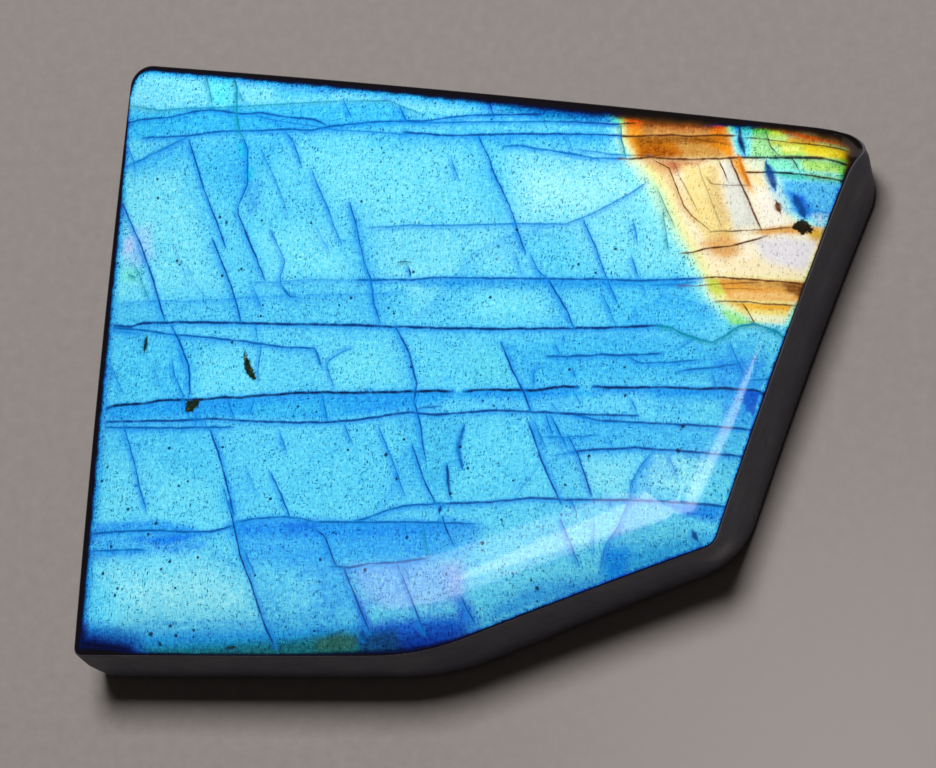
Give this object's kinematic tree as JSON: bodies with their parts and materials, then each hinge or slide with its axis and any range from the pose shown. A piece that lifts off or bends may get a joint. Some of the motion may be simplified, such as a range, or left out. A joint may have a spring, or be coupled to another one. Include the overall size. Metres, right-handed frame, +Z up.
{
  "type": "polished labradorite",
  "caption": "Freeform polished labradorite slab with a flat ground back, upright dark walls and a low domed face that flashes blue, turning gold at one corner.",
  "frame": {"origin": "middle of the flat back: the bottom centre of the stone's box, at rest on a table", "axes": "+Z up through the domed face, +X along the stone's long side towards the gold corner, +Y across it towards the long straight side"},
  "size_m": [0.041, 0.0316, 0.0061],
  "materials": {
    "labradorite": "polished"
  },
  "bodies": {
    "root": {"polished_labradorite": "labradorite"}
  },
  "joints": []
}
